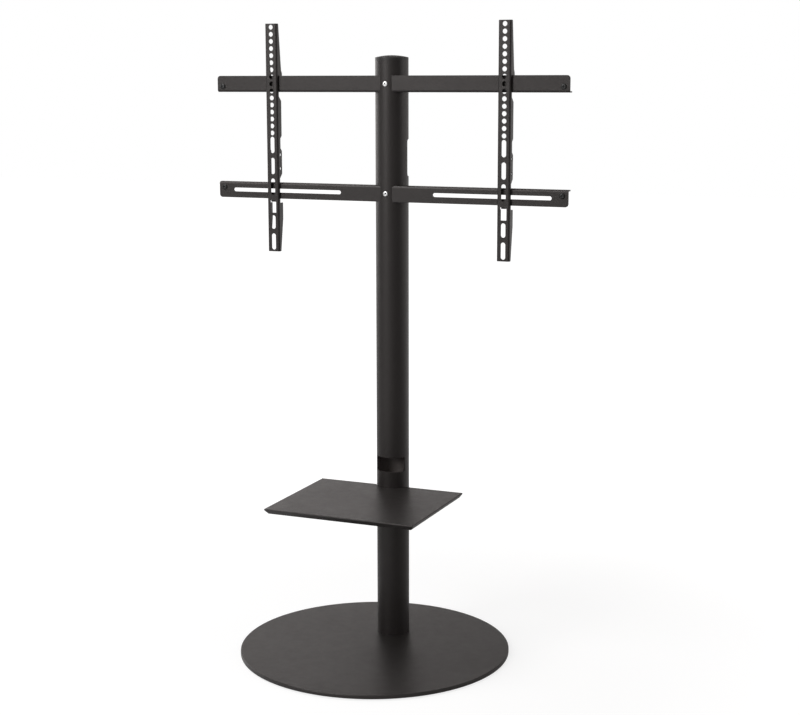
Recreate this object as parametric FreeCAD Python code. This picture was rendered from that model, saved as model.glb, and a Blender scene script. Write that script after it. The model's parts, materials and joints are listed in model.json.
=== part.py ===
import FreeCAD, Part
import os
from math import atan, cos, pi, sin, sqrt, tan

V = FreeCAD.Vector

# Floor stand for a television, in millimetres: +Z up, +Y rearward, origin on the floor under the base

# Base plate and pads
base_diameter = 520.0
base_thickness = 7.0
base_edge_chamfer = 1.2
pad_diameter = 32.0
pad_thickness = 2.5
pad_inset = 34.0
pad_count = 6

# Column tube, with its cable windows
column_setback = 92.0
column_diameter = 63.0
column_wall = 2.0
column_length = 1120.0
rear_window_height = 70.0
rear_window_level = 948.0
rear_window_round = 6.0
front_window_height = 28.5
front_window_level = 355.5
front_window_depth = 21.0
front_window_round = 4.0

# Domed cap in the column's top
cap_rim = 5.5
cap_dome = 4.0
cap_edge_round = 1.2
cap_wall = 2.5
cap_plug_length = 20.0
cap_fit = 0.2

# Threaded foot in the column's lower end, and the bolts through the base into it
foot_thickness = 12.0
foot_fit = 0.2
base_bolt_diameter = 8.0
base_bolt_head_diameter = 16.0
base_bolt_head_height = 4.4
base_bolt_length = 18.0
base_bolt_circle = 36.0
base_bolt_count = 3

# Cross rails, folded from sheet and passed through the column
rail_length = 716.0
rail_height = 31.0
rail_sheet = 2.5
rail_flange = 13.0
rail_bend = 2.0
rail_corner_round = 6.0
lower_rail_level = 881.5
rail_spacing = 204.5
rail_wall_gap = 0.5
rail_slot_width = 7.5
rail_slot_inner_margin = 63.0
rail_slot_outer_margin = 31.5
rail_pass_clearance = 0.3

# Screws and nuts that hold the rails and the shelf bracket to the column
screw_diameter = 6.0
screw_head_diameter = 10.5
screw_head_height = 3.3
screw_length = 13.0
socket_width = 4.0
socket_depth = 2.0
nut_width = 10.0
nut_thickness = 5.0
hole_clearance = 0.3
thread_clearance = 0.1

# Stop screws near the rail ends
stop_diameter = 6.0
stop_head_diameter = 11.0
stop_head_height = 3.0
stop_length = 8.0
stop_inset = 11.5
stop_flange_distance = 10.8

# Arms: folded channels that hang on the upper rail and lean on the lower one
arm_length = 436.0
arm_width = 25.0
arm_sheet = 2.0
arm_bend = 1.5
arm_rest = 236.5
arm_rise_share = 0.4888
arm_standoff = 7.0
slide_clearance = 0.3

# Outline of the arms' flanges: depths are from the web's front, heights from the rail edge beside them
arm_end_depth = 8.0
shoulder_depth = 17.5
hook_depth = 21.0
flange_depth = 16.0
waist_depth = 10.5
heel_depth = 18.0
shoulder_rise = 10.0
hook_crown = 4.0
hook_tooth = 8.0
notch_play = 8.0
flange_ramp = 9.0
waist_rise = 75.5
waist_length = 19.0
waist_ramp = 5.0
heel_length = 30.0
flange_round = 1.5

# Holes and slots in the arms
vesa_span = 200.0
arm_hole_count = 16
arm_hole_diameter = 9.0
first_hole_drop = 6.8
arm_slot_width = 9.0
upper_slot_shares = ((0.022, 0.274), (0.347, 0.599), (0.665, 0.918))
lower_slot_shares = ((0.068, 0.419), (0.536, 0.955))
flange_hole_diameter = 6.5
flange_hole_depth = 10.5
flange_hole_rise = 27.0
flange_hole_spacing = 26.5

# Lanced tab under the lower rail, and the window that it leaves in the web
tab_width = 9.0
tab_reach = 18.0
tab_play = 4.0
tab_window_width = 12.3
tab_window_height = 24.5
tab_window_round = 1.0

# Shelf tray, a folded sheet with a lip that slants inwards
shelf_width = 300.0
shelf_depth = 250.0
shelf_level = 309.5
shelf_sheet = 2.0
shelf_back_gap = 10.0
lip_height = 10.0
lip_inset = 8.0
shelf_fold_round = 1.5
shelf_notch_clearance = 0.5

# Saddle bracket under the tray
bracket_sheet = 3.0
bracket_width = 110.0
bracket_reach = 100.0
bracket_drop = 45.0
bracket_corner_round = 6.0
saddle_fit = 0.2
saddle_wrap = 14.0
gusset_spacing = 44.0
gusset_toe = 8.0
bracket_screw_margin = 12.0
bracket_screw_spacing = 20.0

# Studs under the tray, and their nuts
stud_diameter = 5.0
stud_length = 10.0
stud_spread = 84.0
stud_front_inset = 14.0
stud_row_spacing = 34.0
stud_nut_width = 8.0
stud_nut_thickness = 4.0

# How far every cut runs past the faces that it opens
overrun = 1.0

# Places that follow from the sizes above
base_radius = base_diameter / 2
base_top = pad_thickness + base_thickness
column_radius = column_diameter / 2
column_bore_radius = column_radius - column_wall
column_top = base_top + column_length
rail_face = column_setback - column_bore_radius + rail_wall_gap
upper_rail_level = lower_rail_level + rail_spacing
upper_rail_top = upper_rail_level + rail_height / 2
upper_rail_bottom = upper_rail_level - rail_height / 2
lower_rail_top = lower_rail_level + rail_height / 2
lower_rail_bottom = lower_rail_level - rail_height / 2
arm_front = rail_face - arm_standoff
arm_overhang = arm_length - rail_spacing - rail_height
arm_top = upper_rail_top + arm_rise_share * arm_overhang
arm_bottom = arm_top - arm_length
shelf_back = column_setback - shelf_back_gap
shelf_front = shelf_back - shelf_depth
shelf_underside = shelf_level - shelf_sheet
bracket_underside = shelf_underside - bracket_sheet
bracket_bottom = shelf_underside - bracket_drop
bracket_screw_levels = [
    bracket_bottom + bracket_screw_margin,
    bracket_bottom + bracket_screw_margin + bracket_screw_spacing,
]
saddle_radius = column_radius + saddle_fit

REARWARD = V(0, 1, 0)
FORWARD = V(0, -1, 0)
UP = V(0, 0, 1)
RIGHT = V(1, 0, 0)


def side_view(x):
    return lambda y, z: V(x, y, z)


def front_view(y):
    return lambda x, z: V(x, y, z)


def plan_view(z):
    return lambda x, y: V(x, y, z)


def rounded_wire(corners, place):
    """Closed wire through (u, v, radius) corners, each one rounded by its own radius."""
    bends = []
    for i, (u, v, radius) in enumerate(corners):
        here = V(u, v, 0)
        last = corners[i - 1]
        following = corners[(i + 1) % len(corners)]
        back = (V(last[0], last[1], 0) - here).normalize()
        ahead = (V(following[0], following[1], 0) - here).normalize()
        if radius == 0:
            bends.append((here, None, here))
            continue
        half_angle = back.getAngle(ahead) / 2
        reach = radius / tan(half_angle)
        inward = (back + ahead).normalize() * (radius / sin(half_angle) - radius)
        bends.append((here + back * reach, here + inward, here + ahead * reach))
    edges = []
    for i, (start, middle, end) in enumerate(bends):
        if middle is not None:
            points = [place(p.x, p.y) for p in (start, middle, end)]
            edges.append(Part.Arc(*points).toShape())
        onward = bends[(i + 1) % len(bends)][0]
        if end.distanceToPoint(onward) > Part.Precision.confusion():
            edges.append(Part.LineSegment(place(end.x, end.y), place(onward.x, onward.y)).toShape())
    return Part.Wire(edges)


def prism(corners, place, direction):
    return Part.Face(rounded_wire(corners, place)).extrude(direction)


def rectangle(low_u, low_v, high_u, high_v, radius=0):
    return [
        (low_u, low_v, radius),
        (high_u, low_v, radius),
        (high_u, high_v, radius),
        (low_u, high_v, radius),
    ]


def box(low, high):
    size = high - low
    return Part.makeBox(size.x, size.y, size.z, low)


def slot_cutter(place, direction, length, width, depth):
    """Round-ended slot through a forward-facing sheet, centred on place and lying along direction."""
    across = REARWARD.cross(direction)
    to_end = direction * ((length - width) / 2)
    to_side = across * (width / 2)
    ends = [Part.makeCylinder(width / 2, depth, place + shift, REARWARD) for shift in (to_end, -to_end)]
    corners = [
        place + to_end + to_side,
        place - to_end + to_side,
        place - to_end - to_side,
        place + to_end - to_side,
    ]
    bar = Part.Face(Part.makePolygon(corners + corners[:1])).extrude(REARWARD * depth)
    return bar.fuse(ends)


def hexagon(width, centre, across, upward):
    corner = width / sqrt(3)
    angles = [k * pi / 3 for k in range(6)]
    points = [centre + across * (corner * cos(a)) + upward * (corner * sin(a)) for a in angles]
    return Part.Face(Part.makePolygon(points + points[:1]))


def button_screw(seat, diameter, head_diameter, head_height, length):
    """Screw that enters rearwards at seat, its domed socket head standing forward of it."""
    dome_radius = ((head_diameter / 2)**2 + head_height**2) / (2 * head_height)
    half = dome_radius + overrun
    front = box(seat - V(half, half, half), seat + V(half, 0, half))
    head = Part.makeSphere(dome_radius, seat + REARWARD * (dome_radius - head_height)).common(front)
    shank = Part.makeCylinder(diameter / 2, length, seat, REARWARD)
    socket_mouth = seat + FORWARD * (head_height + overrun)
    socket = hexagon(socket_width, socket_mouth, RIGHT, UP).extrude(REARWARD * (socket_depth + overrun))
    return head.fuse(shank).removeSplitter().cut(socket)


def wall_screw(seat):
    return button_screw(seat, screw_diameter, screw_head_diameter, screw_head_height, screw_length)


def screw_hole(start, direction, depth):
    return Part.makeCylinder(screw_diameter / 2 + hole_clearance, depth, start, direction)


def hex_nut(seat, direction, width, thickness, bore_diameter):
    """Nut that lies on seat and reaches along direction."""
    body = hexagon(width, seat, RIGHT, RIGHT.cross(direction)).extrude(direction * thickness)
    bore_radius = bore_diameter / 2 + thread_clearance
    bore_start = seat - direction * overrun
    return body.cut(Part.makeCylinder(bore_radius, thickness + 2 * overrun, bore_start, direction))


def around(count, radius, centre, start=0):
    angles = [start + 2 * pi * k / count for k in range(count)]
    return [centre + V(radius * cos(a), radius * sin(a), 0) for a in angles]


def edges_at_level(shape, z):
    return [e for e in shape.Edges if all(abs(v.Z - z) < Part.Precision.confusion() for v in e.Vertexes)]


def base_bolt_places():
    centre = V(0, column_setback, pad_thickness)
    return around(base_bolt_count, base_bolt_circle / 2, centre, pi / 2)


def base_bolt(place, clearance, length):
    """Countersunk bolt pointing up from place, grown by clearance to make its hole."""
    shank_radius = base_bolt_diameter / 2 + clearance
    head_radius = base_bolt_head_diameter / 2 + clearance
    head = Part.makeCone(head_radius, shank_radius, base_bolt_head_height, place, UP)
    return head.fuse(Part.makeCylinder(shank_radius, length, place, UP)).removeSplitter()


def base_plate():
    plate = Part.makeCylinder(base_radius, base_thickness, V(0, 0, pad_thickness))
    plate = plate.makeChamfer(base_edge_chamfer, edges_at_level(plate, base_top))
    holes = [base_bolt(p, hole_clearance, base_thickness + overrun) for p in base_bolt_places()]
    return plate.cut(holes)


def base_pads():
    places = around(pad_count, base_radius - pad_inset, V(0, 0, 0), pi / pad_count)
    return [Part.makeCylinder(pad_diameter / 2, pad_thickness, p) for p in places]


def base_bolts():
    return [base_bolt(p, 0, base_bolt_length) for p in base_bolt_places()]


def column_foot():
    start = V(0, column_setback, base_top)
    foot = Part.makeCylinder(column_bore_radius - foot_fit, foot_thickness, start)
    thread_radius = base_bolt_diameter / 2 + thread_clearance
    return foot.cut([Part.makeCylinder(thread_radius, base_bolt_length + foot_thickness, p)
                     for p in base_bolt_places()])


def rail_section(level, flange_side, grow=0):
    """Side view of a rail's angle, grown on every face to make its passage through the column."""
    front = rail_face - grow
    back = rail_face + rail_sheet + grow
    flange_end = rail_face + rail_flange + grow
    free_edge = level - flange_side * (rail_height / 2 + grow)
    flange_edge = level + flange_side * (rail_height / 2 + grow)
    fold = flange_edge - flange_side * (rail_sheet + 2 * grow)
    return [
        (front, free_edge, 0),
        (front, flange_edge, rail_bend + rail_sheet + grow),
        (flange_end, flange_edge, 0),
        (flange_end, fold, 0),
        (back, fold, max(rail_bend - grow, 0)),
        (back, free_edge, 0),
    ]


def cable_windows():
    """Openings milled across the tube: its rear half between the rails, a chord above the shelf."""
    across = RIGHT * (2 * column_diameter)
    rear = rectangle(
        column_setback,
        rear_window_level - rear_window_height / 2,
        column_setback + column_diameter,
        rear_window_level + rear_window_height / 2,
        rear_window_round,
    )
    front = rectangle(
        column_setback - column_radius - column_diameter,
        front_window_level - front_window_height / 2,
        column_setback - column_radius + front_window_depth,
        front_window_level + front_window_height / 2,
        front_window_round,
    )
    return [prism(outline, side_view(-column_diameter), across) for outline in (rear, front)]


def column_tube():
    start = V(0, column_setback, base_top)
    tube = Part.makeCylinder(column_radius, column_length, start)
    bore = Part.makeCylinder(column_bore_radius, column_length + 2 * overrun, start - UP * overrun)
    screw_levels = [upper_rail_level, lower_rail_level] + bracket_screw_levels
    hole_depth = column_radius + overrun
    holes = [screw_hole(V(0, column_setback, z), FORWARD, hole_depth) for z in screw_levels]
    sections = [
        rail_section(upper_rail_level, -1, rail_pass_clearance),
        rail_section(lower_rail_level, 1, rail_pass_clearance),
    ]
    across = RIGHT * (2 * column_diameter)
    passages = [prism(section, side_view(-column_diameter), across) for section in sections]
    return tube.cut([bore] + passages + cable_windows() + holes)


def column_cap():
    """Domed head with a rounded rim over a hollow plug, turned about the column's axis."""
    plug_radius = column_bore_radius - cap_fit
    plug_end = column_top - cap_plug_length
    dome_radius = (column_radius**2 + cap_dome**2) / (2 * cap_dome)
    dome_level = column_top + cap_rim + cap_dome - dome_radius
    rim_radius = column_radius - cap_edge_round
    rim_level = dome_level + sqrt((dome_radius - cap_edge_round)**2 - rim_radius**2)
    lean = atan(rim_radius / (rim_level - dome_level))
    section = front_view(column_setback)

    def arc(x, z, radius, start, end):
        angles = (start, (start + end) / 2, end)
        return Part.Arc(*[section(x + radius * sin(a), z + radius * cos(a)) for a in angles]).toShape()

    outline = [
        section(column_radius, rim_level),
        section(column_radius, column_top),
        section(plug_radius, column_top),
        section(plug_radius, plug_end),
        section(plug_radius - cap_wall, plug_end),
        section(plug_radius - cap_wall, column_top),
        section(0, column_top),
        section(0, dome_level + dome_radius),
    ]
    dome = arc(0, dome_level, dome_radius, 0, lean)
    rim = arc(rim_radius, rim_level, cap_edge_round, lean, pi / 2)
    face = Part.Face(Part.Wire([dome, rim] + Part.makePolygon(outline).Edges))
    return face.revolve(V(0, column_setback, 0), UP, 360)


def rail(level, flange_side, slotted):
    """Folded angle across the column, its flange turned back at the upper (1) or lower (-1) edge."""
    half_length = rail_length / 2
    flange_edge = level + flange_side * rail_height / 2
    free_edge = level - flange_side * rail_height / 2
    body = prism(rail_section(level, flange_side), side_view(-half_length), RIGHT * rail_length)
    outline = [
        (-half_length, flange_edge, 0),
        (half_length, flange_edge, 0),
        (half_length, free_edge, rail_corner_round),
        (-half_length, free_edge, rail_corner_round),
    ]
    body = body.common(prism(outline, front_view(rail_face), REARWARD * rail_flange))
    cut_depth = rail_sheet + 2 * overrun
    front = rail_face - overrun
    cuts = [screw_hole(V(0, front, level), REARWARD, cut_depth)]
    stop_hole_radius = stop_diameter / 2 + thread_clearance
    for x, z in stop_places(level, flange_side):
        cuts.append(Part.makeCylinder(stop_hole_radius, cut_depth, V(x, front, z), REARWARD))
    if slotted:
        slot_start = column_radius + rail_slot_inner_margin
        slot_end = half_length - rail_slot_outer_margin
        for side in (-1, 1):
            place = V(side * (slot_start + slot_end) / 2, front, level)
            cuts.append(slot_cutter(place, RIGHT, slot_end - slot_start, rail_slot_width, cut_depth))
    return body.cut(cuts)


def stop_places(level, flange_side):
    x = rail_length / 2 - stop_inset
    z = level + flange_side * (rail_height / 2 - stop_flange_distance)
    return [(-x, z), (x, z)]


def rail_screw(level):
    return wall_screw(V(0, column_setback - column_radius, level))


def rail_nut(level):
    seat = V(0, rail_face + rail_sheet, level)
    return hex_nut(seat, REARWARD, nut_width, nut_thickness, screw_diameter)


def rail_stops(level, flange_side):
    sizes = (stop_diameter, stop_head_diameter, stop_head_height, stop_length)
    return [button_screw(V(x, rail_face, z), *sizes) for x, z in stop_places(level, flange_side)]


def flange_outline():
    """Side view of an arm's flanges: taper, hook, notches for both rails, waist, and heel below."""
    web = arm_front
    rail_side = web + arm_standoff - slide_clearance
    tooth_front = web + arm_standoff + rail_sheet + slide_clearance
    hook_seat = upper_rail_top + slide_clearance
    tooth_tip = upper_rail_top - hook_tooth
    upper_notch_end = upper_rail_bottom - notch_play
    waist_top = lower_rail_top + waist_rise + waist_length / 2
    waist_bottom = waist_top - waist_length
    lower_notch_start = lower_rail_top + notch_play
    lower_notch_end = lower_rail_bottom - notch_play
    return [
        (web, arm_top, 0),
        (web + arm_end_depth, arm_top, flange_round),
        (web + shoulder_depth, hook_seat + shoulder_rise, 0),
        (web + hook_depth, hook_seat + hook_crown, flange_round),
        (web + hook_depth, tooth_tip, flange_round),
        (tooth_front, tooth_tip, flange_round),
        (tooth_front, hook_seat, 0),
        (rail_side, hook_seat, 0),
        (rail_side, upper_notch_end, 0),
        (web + flange_depth, upper_notch_end - flange_ramp, 0),
        (web + flange_depth, waist_top + waist_ramp, 0),
        (web + waist_depth, waist_top, 0),
        (web + waist_depth, waist_bottom, 0),
        (web + flange_depth, waist_bottom - waist_ramp, 0),
        (web + flange_depth, lower_notch_start + flange_ramp, 0),
        (rail_side, lower_notch_start, 0),
        (rail_side, lower_notch_end, 0),
        (web + heel_depth, lower_notch_end, flange_round),
        (web + heel_depth, lower_notch_end - heel_length, flange_round),
        (web + arm_end_depth, arm_bottom, flange_round),
        (web, arm_bottom, 0),
    ]


def arm_channel(x):
    """Deep channel folded from sheet, trimmed to the flanges' outline."""
    half = arm_width / 2
    deep = arm_front + hook_depth + overrun
    inside = half - arm_sheet
    section = [
        (x - half, deep, 0),
        (x - half, arm_front, arm_bend + arm_sheet),
        (x + half, arm_front, arm_bend + arm_sheet),
        (x + half, deep, 0),
        (x + inside, deep, 0),
        (x + inside, arm_front + arm_sheet, arm_bend),
        (x - inside, arm_front + arm_sheet, arm_bend),
        (x - inside, deep, 0),
    ]
    channel = prism(section, plan_view(arm_bottom), UP * arm_length)
    return channel.common(prism(flange_outline(), side_view(x - half), RIGHT * arm_width))


def arm_tab(x):
    """Tab folded rearwards out of the web, under the lower rail."""
    top = lower_rail_bottom - tab_play
    bottom = top - arm_sheet
    root = top + arm_bend
    section = [
        (arm_front, root, 0),
        (arm_front, bottom, arm_bend + arm_sheet),
        (arm_front + tab_reach, bottom, 0),
        (arm_front + tab_reach, top, 0),
        (arm_front + arm_sheet, top, arm_bend),
        (arm_front + arm_sheet, root, 0),
    ]
    return prism(section, side_view(x - tab_width / 2), RIGHT * tab_width)


def arm_slots(x, front, depth, top, bottom, shares):
    """Upright slots between two levels, each one's ends given as shares of the way down."""
    cuts = []
    for start_share, end_share in shares:
        start = top + start_share * (bottom - top)
        end = top + end_share * (bottom - top)
        cuts.append(slot_cutter(V(x, front, (start + end) / 2), UP, start - end, arm_slot_width, depth))
    return cuts


def arm_cuts(x):
    front = arm_front - overrun
    depth = arm_sheet + 2 * overrun
    hole_radius = arm_hole_diameter / 2
    first_hole = arm_top - first_hole_drop
    last_hole = first_hole - vesa_span
    pitch = vesa_span / (arm_hole_count - 1)
    cuts = []
    for k in range(arm_hole_count):
        cuts.append(Part.makeCylinder(hole_radius, depth, V(x, front, first_hole - k * pitch), REARWARD))
    window_top = lower_rail_bottom - tab_play + arm_bend
    window_bottom = window_top - tab_window_height
    half_width = tab_window_width / 2
    window = rectangle(x - half_width, window_bottom, x + half_width, window_top, tab_window_round)
    cuts.append(prism(window, front_view(front), REARWARD * depth))
    cuts.extend(arm_slots(x, front, depth, last_hole - hole_radius, window_top, upper_slot_shares))
    cuts.extend(arm_slots(x, front, depth, window_bottom, arm_bottom, lower_slot_shares))
    for k in range(2):
        z = lower_rail_top + flange_hole_rise + k * flange_hole_spacing
        start = V(x - arm_width, arm_front + flange_hole_depth, z)
        cuts.append(Part.makeCylinder(flange_hole_diameter / 2, 2 * arm_width, start, RIGHT))
    return cuts


def arm(x):
    return arm_channel(x).cut(arm_cuts(x)).fuse(arm_tab(x)).removeSplitter()


def tray_block(top, bottom, wall, back):
    """Solid with the tray's slanted front and sides, drawn in by a wall's thickness."""
    slope = lip_inset / lip_height
    half_fold = (pi / 2 - atan(slope)) / 2
    lost_to_fold = shelf_fold_round * (1 / tan(half_fold) - 1)
    wires = []
    for z in (top, bottom):
        shrink = wall * sqrt(1 + slope**2) + slope * (shelf_level - z) - lost_to_fold
        half = shelf_width / 2 - shrink
        wires.append(rounded_wire(rectangle(-half, shelf_front + shrink, half, back), plan_view(z)))
    return Part.makeLoft(wires, True, True)


def shelf_tray():
    lip_bottom = shelf_level - lip_height
    outer = tray_block(shelf_level, lip_bottom, 0, shelf_back)
    above_rim = [e for e in outer.Edges if e.BoundBox.ZMax > lip_bottom + overrun]
    folds = [e for e in above_rim if e.BoundBox.YMin < shelf_back - overrun]
    outer = outer.makeFillet(shelf_fold_round, folds)
    inner = tray_block(shelf_underside, lip_bottom - overrun, shelf_sheet, shelf_back + overrun)
    notch_radius = column_radius + shelf_notch_clearance
    notch = Part.makeCylinder(notch_radius, shelf_sheet + 2 * overrun,
                              V(0, column_setback, shelf_underside - overrun))
    return outer.cut([inner, notch])


def shelf_bracket():
    """Saddle that wraps the column's front, a plate under the tray and two gussets between them."""
    axis = V(0, column_setback, bracket_bottom)
    outer_radius = saddle_radius + bracket_sheet
    ring = Part.makeCylinder(outer_radius, bracket_drop, axis)
    hollow = Part.makeCylinder(saddle_radius, bracket_drop + 2 * overrun, axis - UP * overrun)
    front_half = box(
        V(-outer_radius, column_setback - outer_radius - overrun, bracket_bottom),
        V(outer_radius, column_setback - saddle_wrap, shelf_underside),
    )
    front = column_setback - bracket_reach
    half = bracket_width / 2
    outline = [
        (-half, front, bracket_corner_round),
        (half, front, bracket_corner_round),
        (half, column_setback - saddle_wrap, bracket_corner_round),
        (-half, column_setback - saddle_wrap, bracket_corner_round),
    ]
    plate = prism(outline, plan_view(bracket_underside), UP * bracket_sheet)
    ribs = []
    for side in (-1, 1):
        x = side * gusset_spacing / 2
        heel = column_setback - sqrt((saddle_radius + bracket_sheet / 2)**2 - x**2)
        rib = [
            (front + gusset_toe, bracket_underside, 0),
            (heel, bracket_underside, 0),
            (heel, bracket_bottom, 0),
            (heel - gusset_toe, bracket_bottom, 0),
            (front + gusset_toe, bracket_underside - gusset_toe, 0),
        ]
        ribs.append(prism(rib, side_view(x - bracket_sheet / 2), RIGHT * bracket_sheet))
    body = ring.common(front_half).fuse([plate] + ribs).cut(hollow).removeSplitter()
    hole_depth = outer_radius + overrun
    holes = [screw_hole(V(0, column_setback, z), FORWARD, hole_depth) for z in bracket_screw_levels]
    stud_hole_radius = stud_diameter / 2 + hole_clearance
    for place in stud_places():
        start = place - UP * (bracket_sheet + overrun)
        holes.append(Part.makeCylinder(stud_hole_radius, bracket_sheet + 2 * overrun, start))
    return body.cut(holes)


def stud_places():
    front_row = column_setback - bracket_reach + stud_front_inset
    rows = (front_row, front_row + stud_row_spacing)
    return [V(side * stud_spread / 2, y, shelf_underside) for y in rows for side in (-1, 1)]


def shelf_studs():
    return [Part.makeCylinder(stud_diameter / 2, stud_length, p, -UP) for p in stud_places()]


def shelf_nuts():
    seats = [p - UP * bracket_sheet for p in stud_places()]
    return [hex_nut(seat, -UP, stud_nut_width, stud_nut_thickness, stud_diameter) for seat in seats]


def bracket_screws():
    front = column_setback - saddle_radius - bracket_sheet
    return [wall_screw(V(0, front, z)) for z in bracket_screw_levels]


def bracket_nuts():
    """Nuts inside the tube, their corners on the bore's wall."""
    corner = nut_width / sqrt(3) + thread_clearance
    wall = column_setback - sqrt(column_bore_radius**2 - corner**2)
    seats = [V(0, wall, z) for z in bracket_screw_levels]
    return [hex_nut(seat, REARWARD, nut_width, nut_thickness, screw_diameter) for seat in seats]


nodes = {
    "base_plate": [base_plate()],
    "base_pads": base_pads(),
    "base_bolts": base_bolts(),
    "column_foot": [column_foot()],
    "column_tube": [column_tube()],
    "column_cap": [column_cap()],
    "upper_rail": [rail(upper_rail_level, -1, False)],
    "lower_rail": [rail(lower_rail_level, 1, True)],
    "upper_rail_screw": [rail_screw(upper_rail_level)],
    "lower_rail_screw": [rail_screw(lower_rail_level)],
    "upper_rail_nut": [rail_nut(upper_rail_level)],
    "lower_rail_nut": [rail_nut(lower_rail_level)],
    "upper_rail_stops": rail_stops(upper_rail_level, -1),
    "lower_rail_stops": rail_stops(lower_rail_level, 1),
    "left_arm": [arm(-arm_rest)],
    "right_arm": [arm(arm_rest)],
    "shelf_tray": [shelf_tray()],
    "shelf_bracket": [shelf_bracket()],
    "shelf_studs": shelf_studs(),
    "shelf_nuts": shelf_nuts(),
    "bracket_screws": bracket_screws(),
    "bracket_nuts": bracket_nuts(),
}

os.makedirs("parts", exist_ok=True)
for name, solids in nodes.items():
    Part.makeCompound(solids).exportStep("parts/" + name + ".step")
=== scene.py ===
import json
import math

import bpy
from mathutils import Matrix, Vector

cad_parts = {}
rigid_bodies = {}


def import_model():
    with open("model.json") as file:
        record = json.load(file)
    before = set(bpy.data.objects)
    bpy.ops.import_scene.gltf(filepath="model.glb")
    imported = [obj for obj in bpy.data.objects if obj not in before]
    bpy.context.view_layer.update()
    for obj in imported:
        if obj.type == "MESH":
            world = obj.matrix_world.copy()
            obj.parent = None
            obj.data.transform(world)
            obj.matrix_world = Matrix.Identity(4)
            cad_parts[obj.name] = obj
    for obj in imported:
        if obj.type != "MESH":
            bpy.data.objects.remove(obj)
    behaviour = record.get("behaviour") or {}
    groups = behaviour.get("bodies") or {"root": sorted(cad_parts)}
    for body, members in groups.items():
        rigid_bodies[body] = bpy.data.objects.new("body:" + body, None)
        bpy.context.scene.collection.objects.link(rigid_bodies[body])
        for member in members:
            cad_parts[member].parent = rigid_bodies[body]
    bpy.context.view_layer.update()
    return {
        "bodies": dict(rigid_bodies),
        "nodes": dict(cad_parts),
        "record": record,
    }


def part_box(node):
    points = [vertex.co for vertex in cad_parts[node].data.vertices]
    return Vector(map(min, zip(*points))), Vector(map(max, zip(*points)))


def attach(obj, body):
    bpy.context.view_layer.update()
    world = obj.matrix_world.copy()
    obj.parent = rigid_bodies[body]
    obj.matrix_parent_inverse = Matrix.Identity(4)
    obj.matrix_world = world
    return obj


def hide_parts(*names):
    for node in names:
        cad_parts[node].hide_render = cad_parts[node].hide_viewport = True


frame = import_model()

nodes = frame["nodes"]
node_slots = {part["node"]: part["material_slot"] for part in frame["record"]["subparts"]}
MM = 0.001


def middle(node):
    """Centre of a CAD node's box."""
    low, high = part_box(node)
    return (low + high) / 2


# Column and rail screws, where the frame has them
column_setback = middle("column_cap").y
column_wall = 2 * MM
column_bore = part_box("column_tube")[1].x - column_wall
rail_screw_levels = [middle(node).z for node in ("lower_rail_screw", "upper_rail_screw")]

# Fasteners
screw_diameter = 6 * MM
screw_pitch = 1 * MM
socket_width = 4 * MM
socket_depth = 2 * MM
wall_screw_head = {"head_diameter": 10.5 * MM, "head_height": 3.3 * MM}
stop_screw_head = {"head_diameter": 11 * MM, "head_height": 3 * MM}
screw_heads = {
    "upper_rail_screw": wall_screw_head,
    "lower_rail_screw": wall_screw_head,
    "bracket_screws": wall_screw_head,
    "upper_rail_stops": stop_screw_head,
    "lower_rail_stops": stop_screw_head,
}
stud_diameter = 5 * MM
stud_pitch = 0.8 * MM
stud_nut_width = 8 * MM

# Edges of the pieces that follow the CAD solids
edge_rounds = {
    "powder_coat": 0.3 * MM,
    "cap_plastic": 0.3 * MM,
    "pad_rubber": 0.5 * MM,
    "zinc_steel": 0.15 * MM,
}
thin_rounds = {"left_arm": 0.2 * MM, "right_arm": 0.2 * MM}
crisp_nodes = ("column_tube",)
crease_angle = math.radians(40)
flat_angle = math.radians(0.2)
merge_distance = 0.002 * MM
seam_distance = 0.001 * MM

# Warm tints of the coat, its gloss and the room
coat_warmth = 0.13
coat_tint = (1.0, 0.945, 0.93, 1)
room_tint = (1.0, 0.96, 0.945, 1)


class Socket:
    """A node's output. Sums and products of sockets add Math nodes, and node() adds any other node."""

    def __init__(self, tree, output=None):
        self.tree = tree
        self.output = output

    def node(self, kind, settings=None, sockets=None, out=0):
        """Add a node: first its settings, then the values or links of its inputs."""
        made = self.tree.nodes.new(kind)
        for name, value in (settings or {}).items():
            setattr(made, name, value)
        for key, value in (sockets or {}).items():
            if isinstance(value, Socket):
                self.tree.links.new(value.output, made.inputs[key])
            else:
                made.inputs[key].default_value = value
        return Socket(self.tree, made.outputs[out] if made.outputs else None)

    def math(self, operation, *values):
        """A Math node on values or sockets."""
        return self.node("ShaderNodeMath", {"operation": operation}, dict(enumerate(values)))

    def split(self, axes):
        """Single coordinates of a vector, by their letters."""
        return [self.node("ShaderNodeSeparateXYZ", None, {0: self}, axis) for axis in axes]

    def graded(self, between, levels=(0.0, 1.0)):
        """A smooth change from one level to the next while this value goes between two limits."""
        sockets = dict(zip(("From Min", "From Max", "To Min", "To Max"), (*between, *levels)))
        sockets["Value"] = self
        return self.node("ShaderNodeMapRange", {"interpolation_type": "SMOOTHSTEP"}, sockets)

    def blend(self, low, high):
        """A colour between two others, where this value is 0 and 1."""
        return self.node("ShaderNodeMix", {"data_type": "RGBA"}, {0: self, 6: low, 7: high}, 2)

    def bump(self, depth, strength):
        """A normal that follows this value as a height."""
        sockets = {"Height": self, "Distance": depth, "Strength": strength}
        return self.node("ShaderNodeBump", None, sockets)

    def __add__(self, other):
        return self.math("ADD", self, other)

    def __sub__(self, other):
        return self.math("SUBTRACT", self, other)

    def __rsub__(self, other):
        return self.math("SUBTRACT", other, self)

    def __mul__(self, other):
        return self.math("MULTIPLY", self, other)

    def __truediv__(self, other):
        return self.math("DIVIDE", self, other)

    __radd__ = __add__
    __rmul__ = __mul__


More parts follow.
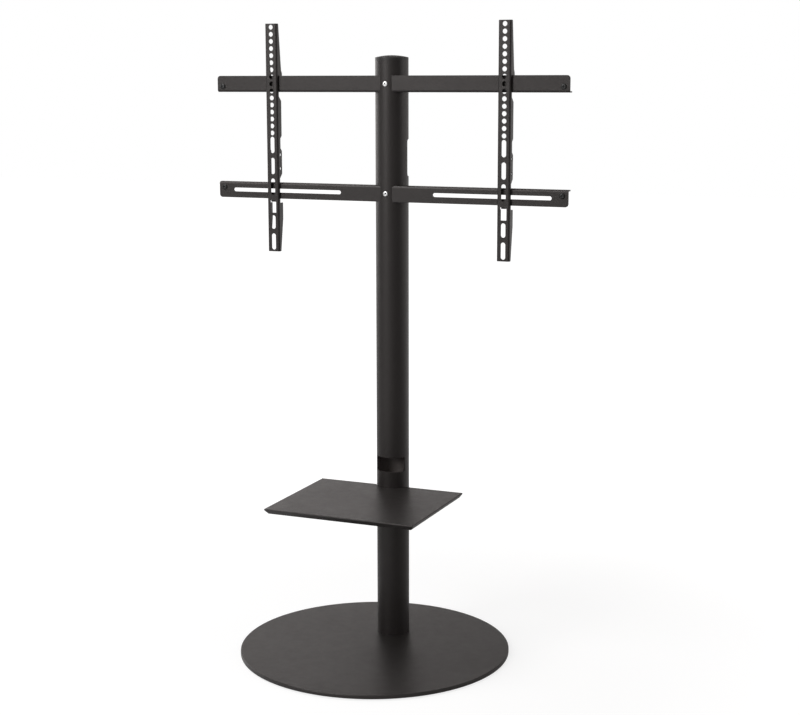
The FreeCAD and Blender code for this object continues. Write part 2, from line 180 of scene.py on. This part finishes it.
def grey(level, warmth=0.0):
    """A grey as a colour, redder where warmth is above 0 and bluer below."""
    blue_share = 0.3
    return (level * (1 + warmth), level, level * (1 - blue_share * warmth), 1)


class Finish:
    """A material with one Principled shader, and noises on the object's own coordinates."""

    def __init__(self, name):
        self.material = bpy.data.materials.new(name)
        self.material.use_nodes = True
        self.material.node_tree.nodes.clear()
        self.start = Socket(self.material.node_tree)
        self.place = self.start.node("ShaderNodeTexCoord", out="Object")

    def noise(self, size, detail, roughness=0.5):
        """Noise from 0 to 1, with features of about this size in metres."""
        sockets = {"Vector": self.place, "Scale": 1 / size, "Detail": detail, "Roughness": roughness}
        return self.start.node("ShaderNodeTexNoise", None, sockets, "Fac")

    def shade(self, **sockets):
        """Close the material with its shader; underscores in names stand for spaces."""
        inputs = {key.replace("_", " "): value for key, value in sockets.items()}
        shader = self.start.node("ShaderNodeBsdfPrincipled", None, inputs)
        self.start.node("ShaderNodeOutputMaterial", None, {"Surface": shader})
        return self.material


def coat_on(finish):
    """Colour, roughness and normal of satin black powder coat: orange peel, grain, a drift of gloss."""
    peel = finish.noise(1.3 * MM, detail=2)
    grain = finish.noise(0.35 * MM, detail=1)
    drift = finish.noise(140 * MM, detail=3)
    patches = finish.noise(16 * MM, detail=3, roughness=0.6)
    satin = 0.33
    normal = (peel * 0.7 + grain * 0.3).bump(depth=0.24 * MM, strength=0.8)
    shade = drift * 0.4 + patches * 0.3 + grain * 0.3
    colour = shade.blend(grey(0.0125, coat_warmth), grey(0.019, coat_warmth))
    roughness = satin + drift * 0.06 + patches * 0.12 + peel * 0.03
    return colour, roughness, normal


def powder_coat():
    """Satin black all over, as on the sheets, the plate and the rails."""
    finish = Finish("satin black powder coat")
    colour, roughness, normal = coat_on(finish)
    return finish.shade(Base_Color=colour, Roughness=roughness, Normal=normal, Specular_Tint=coat_tint)


def tube_coat():
    """The column: coated outside, with bare rolled steel in the bore."""
    finish = Finish("coated tube with bare bore")
    colour, roughness, normal = coat_on(finish)
    along, depth = finish.place.split("XY")
    across = depth - column_setback
    radius = finish.start.math("SQRT", along * along + across * across)
    coat_starts = (column_bore + 0.1 * MM, column_bore + 0.5 * MM)
    bore = 1 - radius.graded(coat_starts)
    scale = finish.noise(9 * MM, detail=4, roughness=0.6)
    steel = scale.blend(grey(0.09, 0.16), grey(0.19, 0.12))
    colour = bore.blend(colour, steel)
    roughness = roughness + bore * (scale * 0.2)
    return finish.shade(Base_Color=colour, Roughness=roughness, Normal=normal, Specular_Tint=coat_tint)


def moulded_plastic():
    """Black moulded plastic with a fine spark-eroded grain."""
    finish = Finish("black moulded plastic")
    grain = finish.noise(0.5 * MM, detail=3)
    flow = finish.noise(18 * MM, detail=2)
    colour = (flow * 0.7 + grain * 0.3).blend(grey(0.017, 0.08), grey(0.024, 0.08))
    normal = grain.bump(depth=0.08 * MM, strength=0.3)
    return finish.shade(Base_Color=colour, Roughness=0.42 + grain * 0.14, Normal=normal)


def pad_rubber():
    """Black rubber, matt and crumbly."""
    finish = Finish("black pad rubber")
    crumb = finish.noise(0.8 * MM, detail=4, roughness=0.7)
    colour = crumb.blend(grey(0.012), grey(0.03))
    normal = crumb.bump(depth=0.15 * MM, strength=0.5)
    return finish.shade(Base_Color=colour, Roughness=0.72 + crumb * 0.2, Normal=normal)


def bright_steel():
    """Bright steel with light handling scuffs, and painted shade that darkens the sockets of the two
    rail screws.
    """
    finish = Finish("bright steel")
    scuff = finish.noise(0.6 * MM, detail=4, roughness=0.65)
    cloud = finish.noise(4 * MM, detail=2)
    lower, upper = rail_screw_levels
    x, z = finish.place.split("XZ")
    drop = finish.start.math("ABSOLUTE", z - (lower + upper) / 2) - (upper - lower) / 2
    radius = finish.start.math("SQRT", x * x + drop * drop)
    # Painted shade: the socket centres of the two rail screws are darkened and made rougher, where the
    # recess lies in shade.
    painted_socket_shade = 1 - radius.graded((1.2 * MM, 2.0 * MM))
    steel = cloud.blend(grey(0.8), grey(0.92))
    colour = painted_socket_shade.blend(steel, grey(0.08))
    roughness = 0.3 + scuff * 0.16 + painted_socket_shade * 0.2
    normal = scuff.bump(depth=0.02 * MM, strength=0.2)
    return finish.shade(Base_Color=colour, Roughness=roughness, Metallic=1.0, Normal=normal)


def black_steel():
    """Blackened steel, slightly oily."""
    finish = Finish("blackened steel")
    scuff = finish.noise(0.7 * MM, detail=4, roughness=0.6)
    colour = scuff.blend(grey(0.004), grey(0.012))
    normal = scuff.bump(depth=0.03 * MM, strength=0.25)
    return finish.shade(Base_Color=colour, Roughness=0.34 + scuff * 0.14, Normal=normal)


def zinc_plate():
    """Zinc plating, cloudy and slightly blue."""
    finish = Finish("zinc plating")
    cloud = finish.noise(5 * MM, detail=3)
    scuff = finish.noise(0.5 * MM, detail=4, roughness=0.6)
    colour = cloud.blend(grey(0.46, -0.03), grey(0.66, -0.05))
    normal = scuff.bump(depth=0.02 * MM, strength=0.25)
    return finish.shade(Base_Color=colour, Roughness=0.32 + scuff * 0.18, Metallic=1.0, Normal=normal)


finishes = {
    "powder_coat": powder_coat(),
    "cap_plastic": moulded_plastic(),
    "pad_rubber": pad_rubber(),
    "bright_screws": bright_steel(),
    "black_screws": black_steel(),
    "zinc_steel": zinc_plate(),
}
special_finishes = {"column_tube": tube_coat()}


def pick(*objects):
    """Select these objects alone, the first of them active."""
    bpy.ops.object.select_all(action="DESELECT")
    for item in objects:
        item.select_set(True)
    bpy.context.view_layer.objects.active = objects[0]


def edit_all():
    """Enter edit mode with everything selected."""
    bpy.ops.object.mode_set(mode="EDIT")
    bpy.ops.mesh.select_all(action="SELECT")


def leave_edit():
    bpy.ops.object.mode_set(mode="OBJECT")


def round_edges(piece, width):
    """Break the sharp edges with a small round of a given width."""
    pick(piece)
    bevel = piece.modifiers.new("edges", "BEVEL")
    bevel.limit_method = "ANGLE"
    bevel.angle_limit = crease_angle
    bevel.width = width
    bevel.segments = 2
    bevel.loop_slide = False
    bevel.use_clamp_overlap = False
    bpy.ops.object.modifier_apply(modifier=bevel.name)


def smooth_shading(piece):
    """Shade the flats flat and the bends smooth."""
    pick(piece)
    bpy.ops.object.shade_smooth_by_angle(angle=crease_angle)
    weights = piece.modifiers.new("flats", "WEIGHTED_NORMAL")
    weights.keep_sharp = True
    bpy.ops.object.modifier_apply(modifier=weights.name)


def radial_normals(piece):
    """Shade the column's walls as true rounds, whatever facets its slots and windows leave."""
    mesh = piece.data
    normals = [corner.vector.copy() for corner in mesh.corner_normals]
    most_tilt = math.radians(9)
    least_facing = math.cos(most_tilt)
    for face in mesh.polygons:
        for corner in face.loop_indices:
            place = mesh.vertices[mesh.loops[corner].vertex_index].co
            outward = Vector((place.x, place.y - column_setback, 0)).normalized()
            facing = face.normal.dot(outward)
            if abs(facing) > least_facing:
                normals[corner] = outward * math.copysign(1, facing)
    mesh.normals_split_custom_set(normals)


def dress(piece, node):
    """Give a piece the finish of the CAD node that it stands for, and let it move with its body."""
    slot = node_slots[node]
    piece.name = node + "_finished"
    piece.data.materials.clear()
    piece.data.materials.append(special_finishes.get(node, finishes[slot]))
    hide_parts(node)
    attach(piece, node if node in frame["bodies"] else "stand")


def finished_node(node):
    """A copy of a CAD node with its triangles merged, its flats joined and its edges rounded."""
    pick(nodes[node])
    bpy.ops.object.duplicate()
    piece = bpy.context.object
    edit_all()
    bpy.ops.mesh.remove_doubles(threshold=merge_distance)
    bpy.ops.mesh.dissolve_limited(angle_limit=flat_angle)
    leave_edit()
    if node not in crisp_nodes:
        round_edges(piece, thin_rounds.get(node, edge_rounds[node_slots[node]]))
    smooth_shading(piece)
    if node == "column_tube":
        radial_normals(piece)
    dress(piece, node)


# Fasteners: modelled once on the Z axis, then copied to their places
def draw_profile(name, points):
    """A new piece in edit mode: a line through (radius, height) points, extruded from one vertex."""
    bpy.ops.object.select_all(action="DESELECT")
    bpy.ops.mesh.primitive_plane_add(size=MM)
    piece = bpy.context.object
    piece.name = name
    bpy.ops.object.mode_set(mode="EDIT")
    bpy.ops.mesh.select_mode(type="VERT")
    bpy.ops.mesh.merge(type="CENTER")
    corners = [Vector((radius, 0, height)) for radius, height in points]
    bpy.ops.transform.translate(value=corners[0])
    for before, after in zip(corners, corners[1:]):
        bpy.ops.mesh.extrude_region_move(TRANSFORM_OT_translate={"value": after - before})
    return piece


def close_mesh():
    """Merge what lies in one place and turn all faces outwards, in edit mode."""
    bpy.ops.mesh.select_all(action="SELECT")
    bpy.ops.mesh.remove_doubles(threshold=seam_distance)
    bpy.ops.mesh.normals_make_consistent(inside=False)


def turned(name, points, steps=64):
    """A profile spun about the Z axis."""
    piece = draw_profile(name, points)
    bpy.ops.mesh.select_all(action="SELECT")
    bpy.ops.mesh.spin(steps=steps, angle=2 * math.pi, center=(0, 0, 0), axis=(0, 0, 1))
    close_mesh()
    leave_edit()
    return piece


def hexagon_bar(name, width, low, high):
    """A hexagonal bar of a width across its flats, between two heights."""
    bpy.ops.object.select_all(action="DESELECT")
    bpy.ops.mesh.primitive_cylinder_add(
        vertices=6,
        radius=width / math.sqrt(3),
        depth=high - low,
        location=(0, 0, (low + high) / 2),
        rotation=(0, 0, math.pi / 6),
    )
    bpy.ops.object.transform_apply(location=True, rotation=True, scale=True)
    bpy.context.object.name = name
    return bpy.context.object


def combine(piece, tool, operation):
    """Join, cut or trim a piece with a tool, which is used up."""
    pick(piece)
    step = piece.modifiers.new("tool", "BOOLEAN")
    step.operation = operation
    step.object = tool
    bpy.ops.object.modifier_apply(modifier=step.name)
    bpy.data.objects.remove(tool)
    edit_all()
    bpy.ops.mesh.remove_doubles(threshold=merge_distance)
    bpy.ops.mesh.dissolve_degenerate(threshold=merge_distance)
    leave_edit()


def threaded_rod(name, diameter, pitch, top, bottom):
    """A rod with a real thread, closed at its ends and trimmed to its length with a chamfer below."""
    crest = diameter / 2
    root = crest - 0.6 * pitch
    chamfer = 0.5 * pitch
    turns = math.ceil((top - bottom) / pitch) + 3
    # A little off a whole turn, so that no corner of the thread lies in a plane that trims it
    start_turn = -2.013
    flanks = ((root, 0), (crest, 0.38), (crest, 0.5), (root, 0.88), (root, 1))
    profile = [(radius, bottom + (rise + start_turn) * pitch) for radius, rise in flanks]
    piece = draw_profile(name, profile)
    leave_edit()
    screw = piece.modifiers.new("thread", "SCREW")
    screw.screw_offset = pitch
    screw.iterations = turns
    screw.steps = screw.render_steps = 32
    bpy.ops.object.modifier_apply(modifier=screw.name)
    bpy.ops.object.mode_set(mode="EDIT")
    bpy.ops.mesh.select_mode(type="EDGE")
    close_mesh()
    bpy.ops.mesh.select_all(action="DESELECT")
    bpy.ops.mesh.select_non_manifold()
    bpy.ops.mesh.fill_holes(sides=0)
    close_mesh()
    leave_edit()
    outside = crest + chamfer
    blank = [
        (0, top),
        (outside, top),
        (outside, bottom + 2 * chamfer),
        (crest - chamfer, bottom),
        (0, bottom),
    ]
    combine(piece, turned("blank", blank), "INTERSECT")
    return piece


def socket_screw(name, head_diameter, head_height, length):
    """Domed screw with a hexagon socket: its seat at the origin, head above it and thread below."""
    rim = 0.35 * MM
    crown = 0.3 * MM
    seat_inset = 0.15 * MM
    radius = head_diameter / 2
    flat = 0.62 * radius
    drop = head_height - crown - rim
    steps = 10
    angles = [math.pi / 2 * k / steps for k in range(steps + 1)]
    shoulder = [(flat + (radius - flat) * math.sin(a), rim + drop * math.cos(a)) for a in angles]
    piece = turned(name, [(0, head_height)] + shoulder + [(radius - seat_inset, 0), (0, 0)])
    bottom = head_height - socket_depth
    combine(piece, hexagon_bar("socket", socket_width, bottom, 2 * head_height), "DIFFERENCE")
    bore = 0.49 * socket_width
    mouth = 0.6 * socket_width
    drill = [
        (0, bottom - bore / 2),
        (bore, bottom),
        (bore, head_height - crown),
        (mouth, head_height + crown),
        (0, head_height + crown),
    ]
    combine(piece, turned("drill", drill, steps=48), "DIFFERENCE")
    combine(piece, threaded_rod("thread", screw_diameter, screw_pitch, rim, -length), "UNION")
    return piece


def hexagon_nut(name, width, thickness, bore_diameter):
    """Nut with its corners eased on both faces and its bore countersunk, hanging from the origin."""
    face = 0.475 * width
    corner = 0.6 * width
    ease = (corner - face) * math.tan(math.radians(30))
    bore = bore_diameter / 2
    sink = 0.5 * MM
    mouth = bore + 2 * sink
    piece = hexagon_bar(name, width, -thickness, 0)
    blank = [
        (0, 0),
        (face, 0),
        (corner, -ease),
        (corner, ease - thickness),
        (face, -thickness),
        (0, -thickness),
    ]
    combine(piece, turned("blank", blank), "INTERSECT")
    drill = [
        (0, sink),
        (mouth, sink),
        (bore, -sink),
        (bore, sink - thickness),
        (mouth, -thickness - sink),
        (0, -thickness - sink),
    ]
    combine(piece, turned("drill", drill), "DIFFERENCE")
    return piece


def spread(low, high, radius):
    """Centres of round things that reach from low to high: one alone, or one at each end."""
    if high - low < 3 * radius:
        return [(low + high) / 2]
    return [low + radius, high - radius]


def set_copies(model, node, places, turn):
    """Copies of a fastener at their places, joined as the piece that stands for a node."""
    copies = []
    for place in places:
        pick(model)
        bpy.ops.object.duplicate()
        copies.append(bpy.context.object)
        copies[-1].matrix_world = Matrix.Translation(place) @ turn
    pick(*copies)
    if len(copies) > 1:
        bpy.ops.object.join()
    bpy.ops.object.transform_apply(location=True, rotation=True, scale=True)
    edit_all()
    bpy.ops.mesh.quads_convert_to_tris(quad_method="BEAUTY", ngon_method="BEAUTY")
    leave_edit()
    smooth_shading(copies[0])
    dress(copies[0], node)


def set_screws(node, head_diameter, head_height):
    """Screws that enter rearwards, at the places and with the length that the node's box gives."""
    low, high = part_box(node)
    radius = head_diameter / 2
    seat = low.y + head_height
    columns = spread(low.x, high.x, radius)
    places = [(x, seat, z) for x in columns for z in spread(low.z, high.z, radius)]
    model = socket_screw("screw", head_diameter, head_height, high.y - seat)
    set_copies(model, node, places, Matrix.Rotation(math.pi / 2, 4, "X"))
    bpy.data.objects.remove(model)


def set_studs():
    """Threaded studs under the tray, and the nuts that hold the bracket on them."""
    low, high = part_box("shelf_studs")
    nuts_low, nuts_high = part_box("shelf_nuts")
    radius = stud_diameter / 2
    columns = spread(low.x, high.x, radius)
    places = [(x, y) for x in columns for y in spread(low.y, high.y, radius)]
    stud = threaded_rod("stud", stud_diameter, stud_pitch, 0, low.z - high.z)
    set_copies(stud, "shelf_studs", [(x, y, high.z) for x, y in places], Matrix())
    nut = hexagon_nut("nut", stud_nut_width, nuts_high.z - nuts_low.z, stud_diameter)
    set_copies(nut, "shelf_nuts", [(x, y, nuts_high.z) for x, y in places], Matrix())
    for model in (stud, nut):
        bpy.data.objects.remove(model)


for screw_node, head in screw_heads.items():
    set_screws(screw_node, **head)
set_studs()
modelled_nodes = (*screw_heads, "shelf_studs", "shelf_nuts")
for node in node_slots:
    if node not in modelled_nodes:
        finished_node(node)


# Studio: a pale floor and a white room, graded where the coat's gloss mirrors them
def seen_in_gloss(start):
    """1 on rays that come by reflection or through a clear material."""
    kinds = ("Is Glossy Ray", "Is Transmission Ray")
    rays = [start.node("ShaderNodeLightPath", out=kind) for kind in kinds]
    return start.math("MAXIMUM", *rays)


def floor_paint():
    """White to the camera, a little darker near the object, and seen from above only."""
    material = bpy.data.materials.new("pale floor")
    material.use_nodes = True
    material.node_tree.nodes.clear()
    start = Socket(material.node_tree)
    paint = start.node("ShaderNodeBsdfDiffuse", None, {"Color": grey(0.3)})
    place = start.node("ShaderNodeTexCoord", out="Object")
    x, y = place.split("XY")
    distance = start.node("ShaderNodeVectorMath", {"operation": "LENGTH"}, {0: place}, "Value")
    camera = start.node("ShaderNodeLightPath", out="Is Camera Ray")
    seen = camera * distance.graded((0.4, 1.8), (0.78, 1.0))
    least_reach = 0.6
    reach = start.math("MAXIMUM", distance, least_reach)
    sideways = x / reach
    outward = distance.graded((2.0, 7.5), (0.53, 1.18))
    right = sideways.graded((-0.1, 0.65), (1.0, 0.27))
    left = sideways.graded((-0.95, -0.55), (0.45, 1.0))
    rear = (y / reach).graded((0.3, 0.95))
    behind = distance.graded((0.6, 3.0), (0.3, 1.0))
    mirrored = outward * right * left * (1 - rear) + rear * behind
    strength = seen + seen_in_gloss(start) * mirrored
    glow = start.node("ShaderNodeEmission", None, {"Color": grey(1), "Strength": strength})
    both = start.node("ShaderNodeAddShader", None, {0: paint, 1: glow})
    below = start.node("ShaderNodeNewGeometry", out="Backfacing")
    clear = start.node("ShaderNodeBsdfTransparent")
    one_sided = start.node("ShaderNodeMixShader", None, {0: below, 1: both, 2: clear})
    start.node("ShaderNodeOutputMaterial", None, {"Surface": one_sided})
    return material


def studio_floor():
    """A wide floor, just under the pads."""
    pad_gap = 0.1 * MM
    bpy.ops.object.select_all(action="DESELECT")
    bpy.ops.mesh.primitive_plane_add(size=24, location=(0, 0, -pad_gap))
    floor = bpy.context.object
    floor.name = "studio_floor"
    floor.data.materials.append(floor_paint())


def studio_world():
    """White to the camera, even light on matt surfaces, and walls of their own brightness in gloss."""
    world = bpy.data.worlds.new("studio")
    bpy.context.scene.world = world
    world.use_nodes = True
    world.node_tree.nodes.clear()
    start = Socket(world.node_tree)
    x, y, z = start.node("ShaderNodeTexCoord", out="Generated").split("XYZ")
    rear_wall = y.graded((-0.4, 0.5), (0.06, 1.07))
    wall_top = z.graded((0.275, 0.385), (1.06, 0.06))
    right_side = x.graded((-0.52, -0.2), (1.54, 0.67))
    overhead = z.graded((0.6, 0.95), (0.0, 0.55))
    front_wall = y.graded((-0.75, -0.3), (0.6, 0.0)) * z.graded((0.1, 0.3))
    mirrored = rear_wall * wall_top * right_side + overhead + front_wall
    matt_light = 0.3
    camera = start.node("ShaderNodeLightPath", out="Is Camera Ray")
    gloss = seen_in_gloss(start)
    strength = start.math("MAXIMUM", camera, gloss * mirrored + (1 - gloss) * matt_light)
    colour = camera.blend(room_tint, grey(1))
    room = start.node("ShaderNodeBackground", None, {"Color": colour, "Strength": strength})
    start.node("ShaderNodeOutputWorld", None, {"Surface": room})


def softbox(name, place, aim, size, power):
    """A rectangular lamp that points at aim."""
    lamp = bpy.data.lights.new(name, "AREA")
    lamp.shape = "RECTANGLE"
    lamp.size, lamp.size_y = size
    lamp.energy = power
    holder = bpy.data.objects.new(name, lamp)
    bpy.context.scene.collection.objects.link(holder)
    holder.location = place
    holder.rotation_euler = (Vector(aim) - Vector(place)).to_track_quat("-Z", "Y").to_euler()


def photo_camera():
    """The photograph's viewpoint, a little right of the front and above the shelf."""
    azimuth = math.radians(22.99)
    elevation = math.radians(9.97)
    roll = math.radians(-0.12)
    distance = 3.0965
    aim = Vector((0.0131, 0.0974, 0.5626))
    lens = bpy.data.cameras.new("photo_camera")
    lens.sensor_fit = "HORIZONTAL"
    lens.sensor_width = 36
    lens.lens = 71.82
    camera = bpy.data.objects.new("photo_camera", lens)
    bpy.context.scene.collection.objects.link(camera)
    turn = Matrix.Rotation(azimuth, 4, "Z") @ Matrix.Rotation(math.pi / 2 - elevation, 4, "X")
    back = Matrix.Translation((0, 0, distance))
    camera.matrix_world = Matrix.Translation(aim) @ turn @ back @ Matrix.Rotation(roll, 4, "Z")
    bpy.context.scene.camera = camera


studio_floor()
studio_world()
column_middle = (0, 0.1, 0.6)
softbox("front_strip", place=(-1.25, -2.75, 1.95), aim=(0, 0.1, 0.85), size=(0.9, 1.5), power=32)
softbox("top_box", place=(-1.1, -0.9, 3.0), aim=(0, 0, 0.6), size=(1.2, 1.2), power=29)
softbox("left_box", place=(-2.6, 0.6, 1.5), aim=column_middle, size=(1.4, 2.0), power=12)
softbox("right_box", place=(2.6, 0.9, 1.5), aim=column_middle, size=(1.2, 2.0), power=8)
photo_camera()
bpy.context.scene.view_settings.view_transform = "Standard"
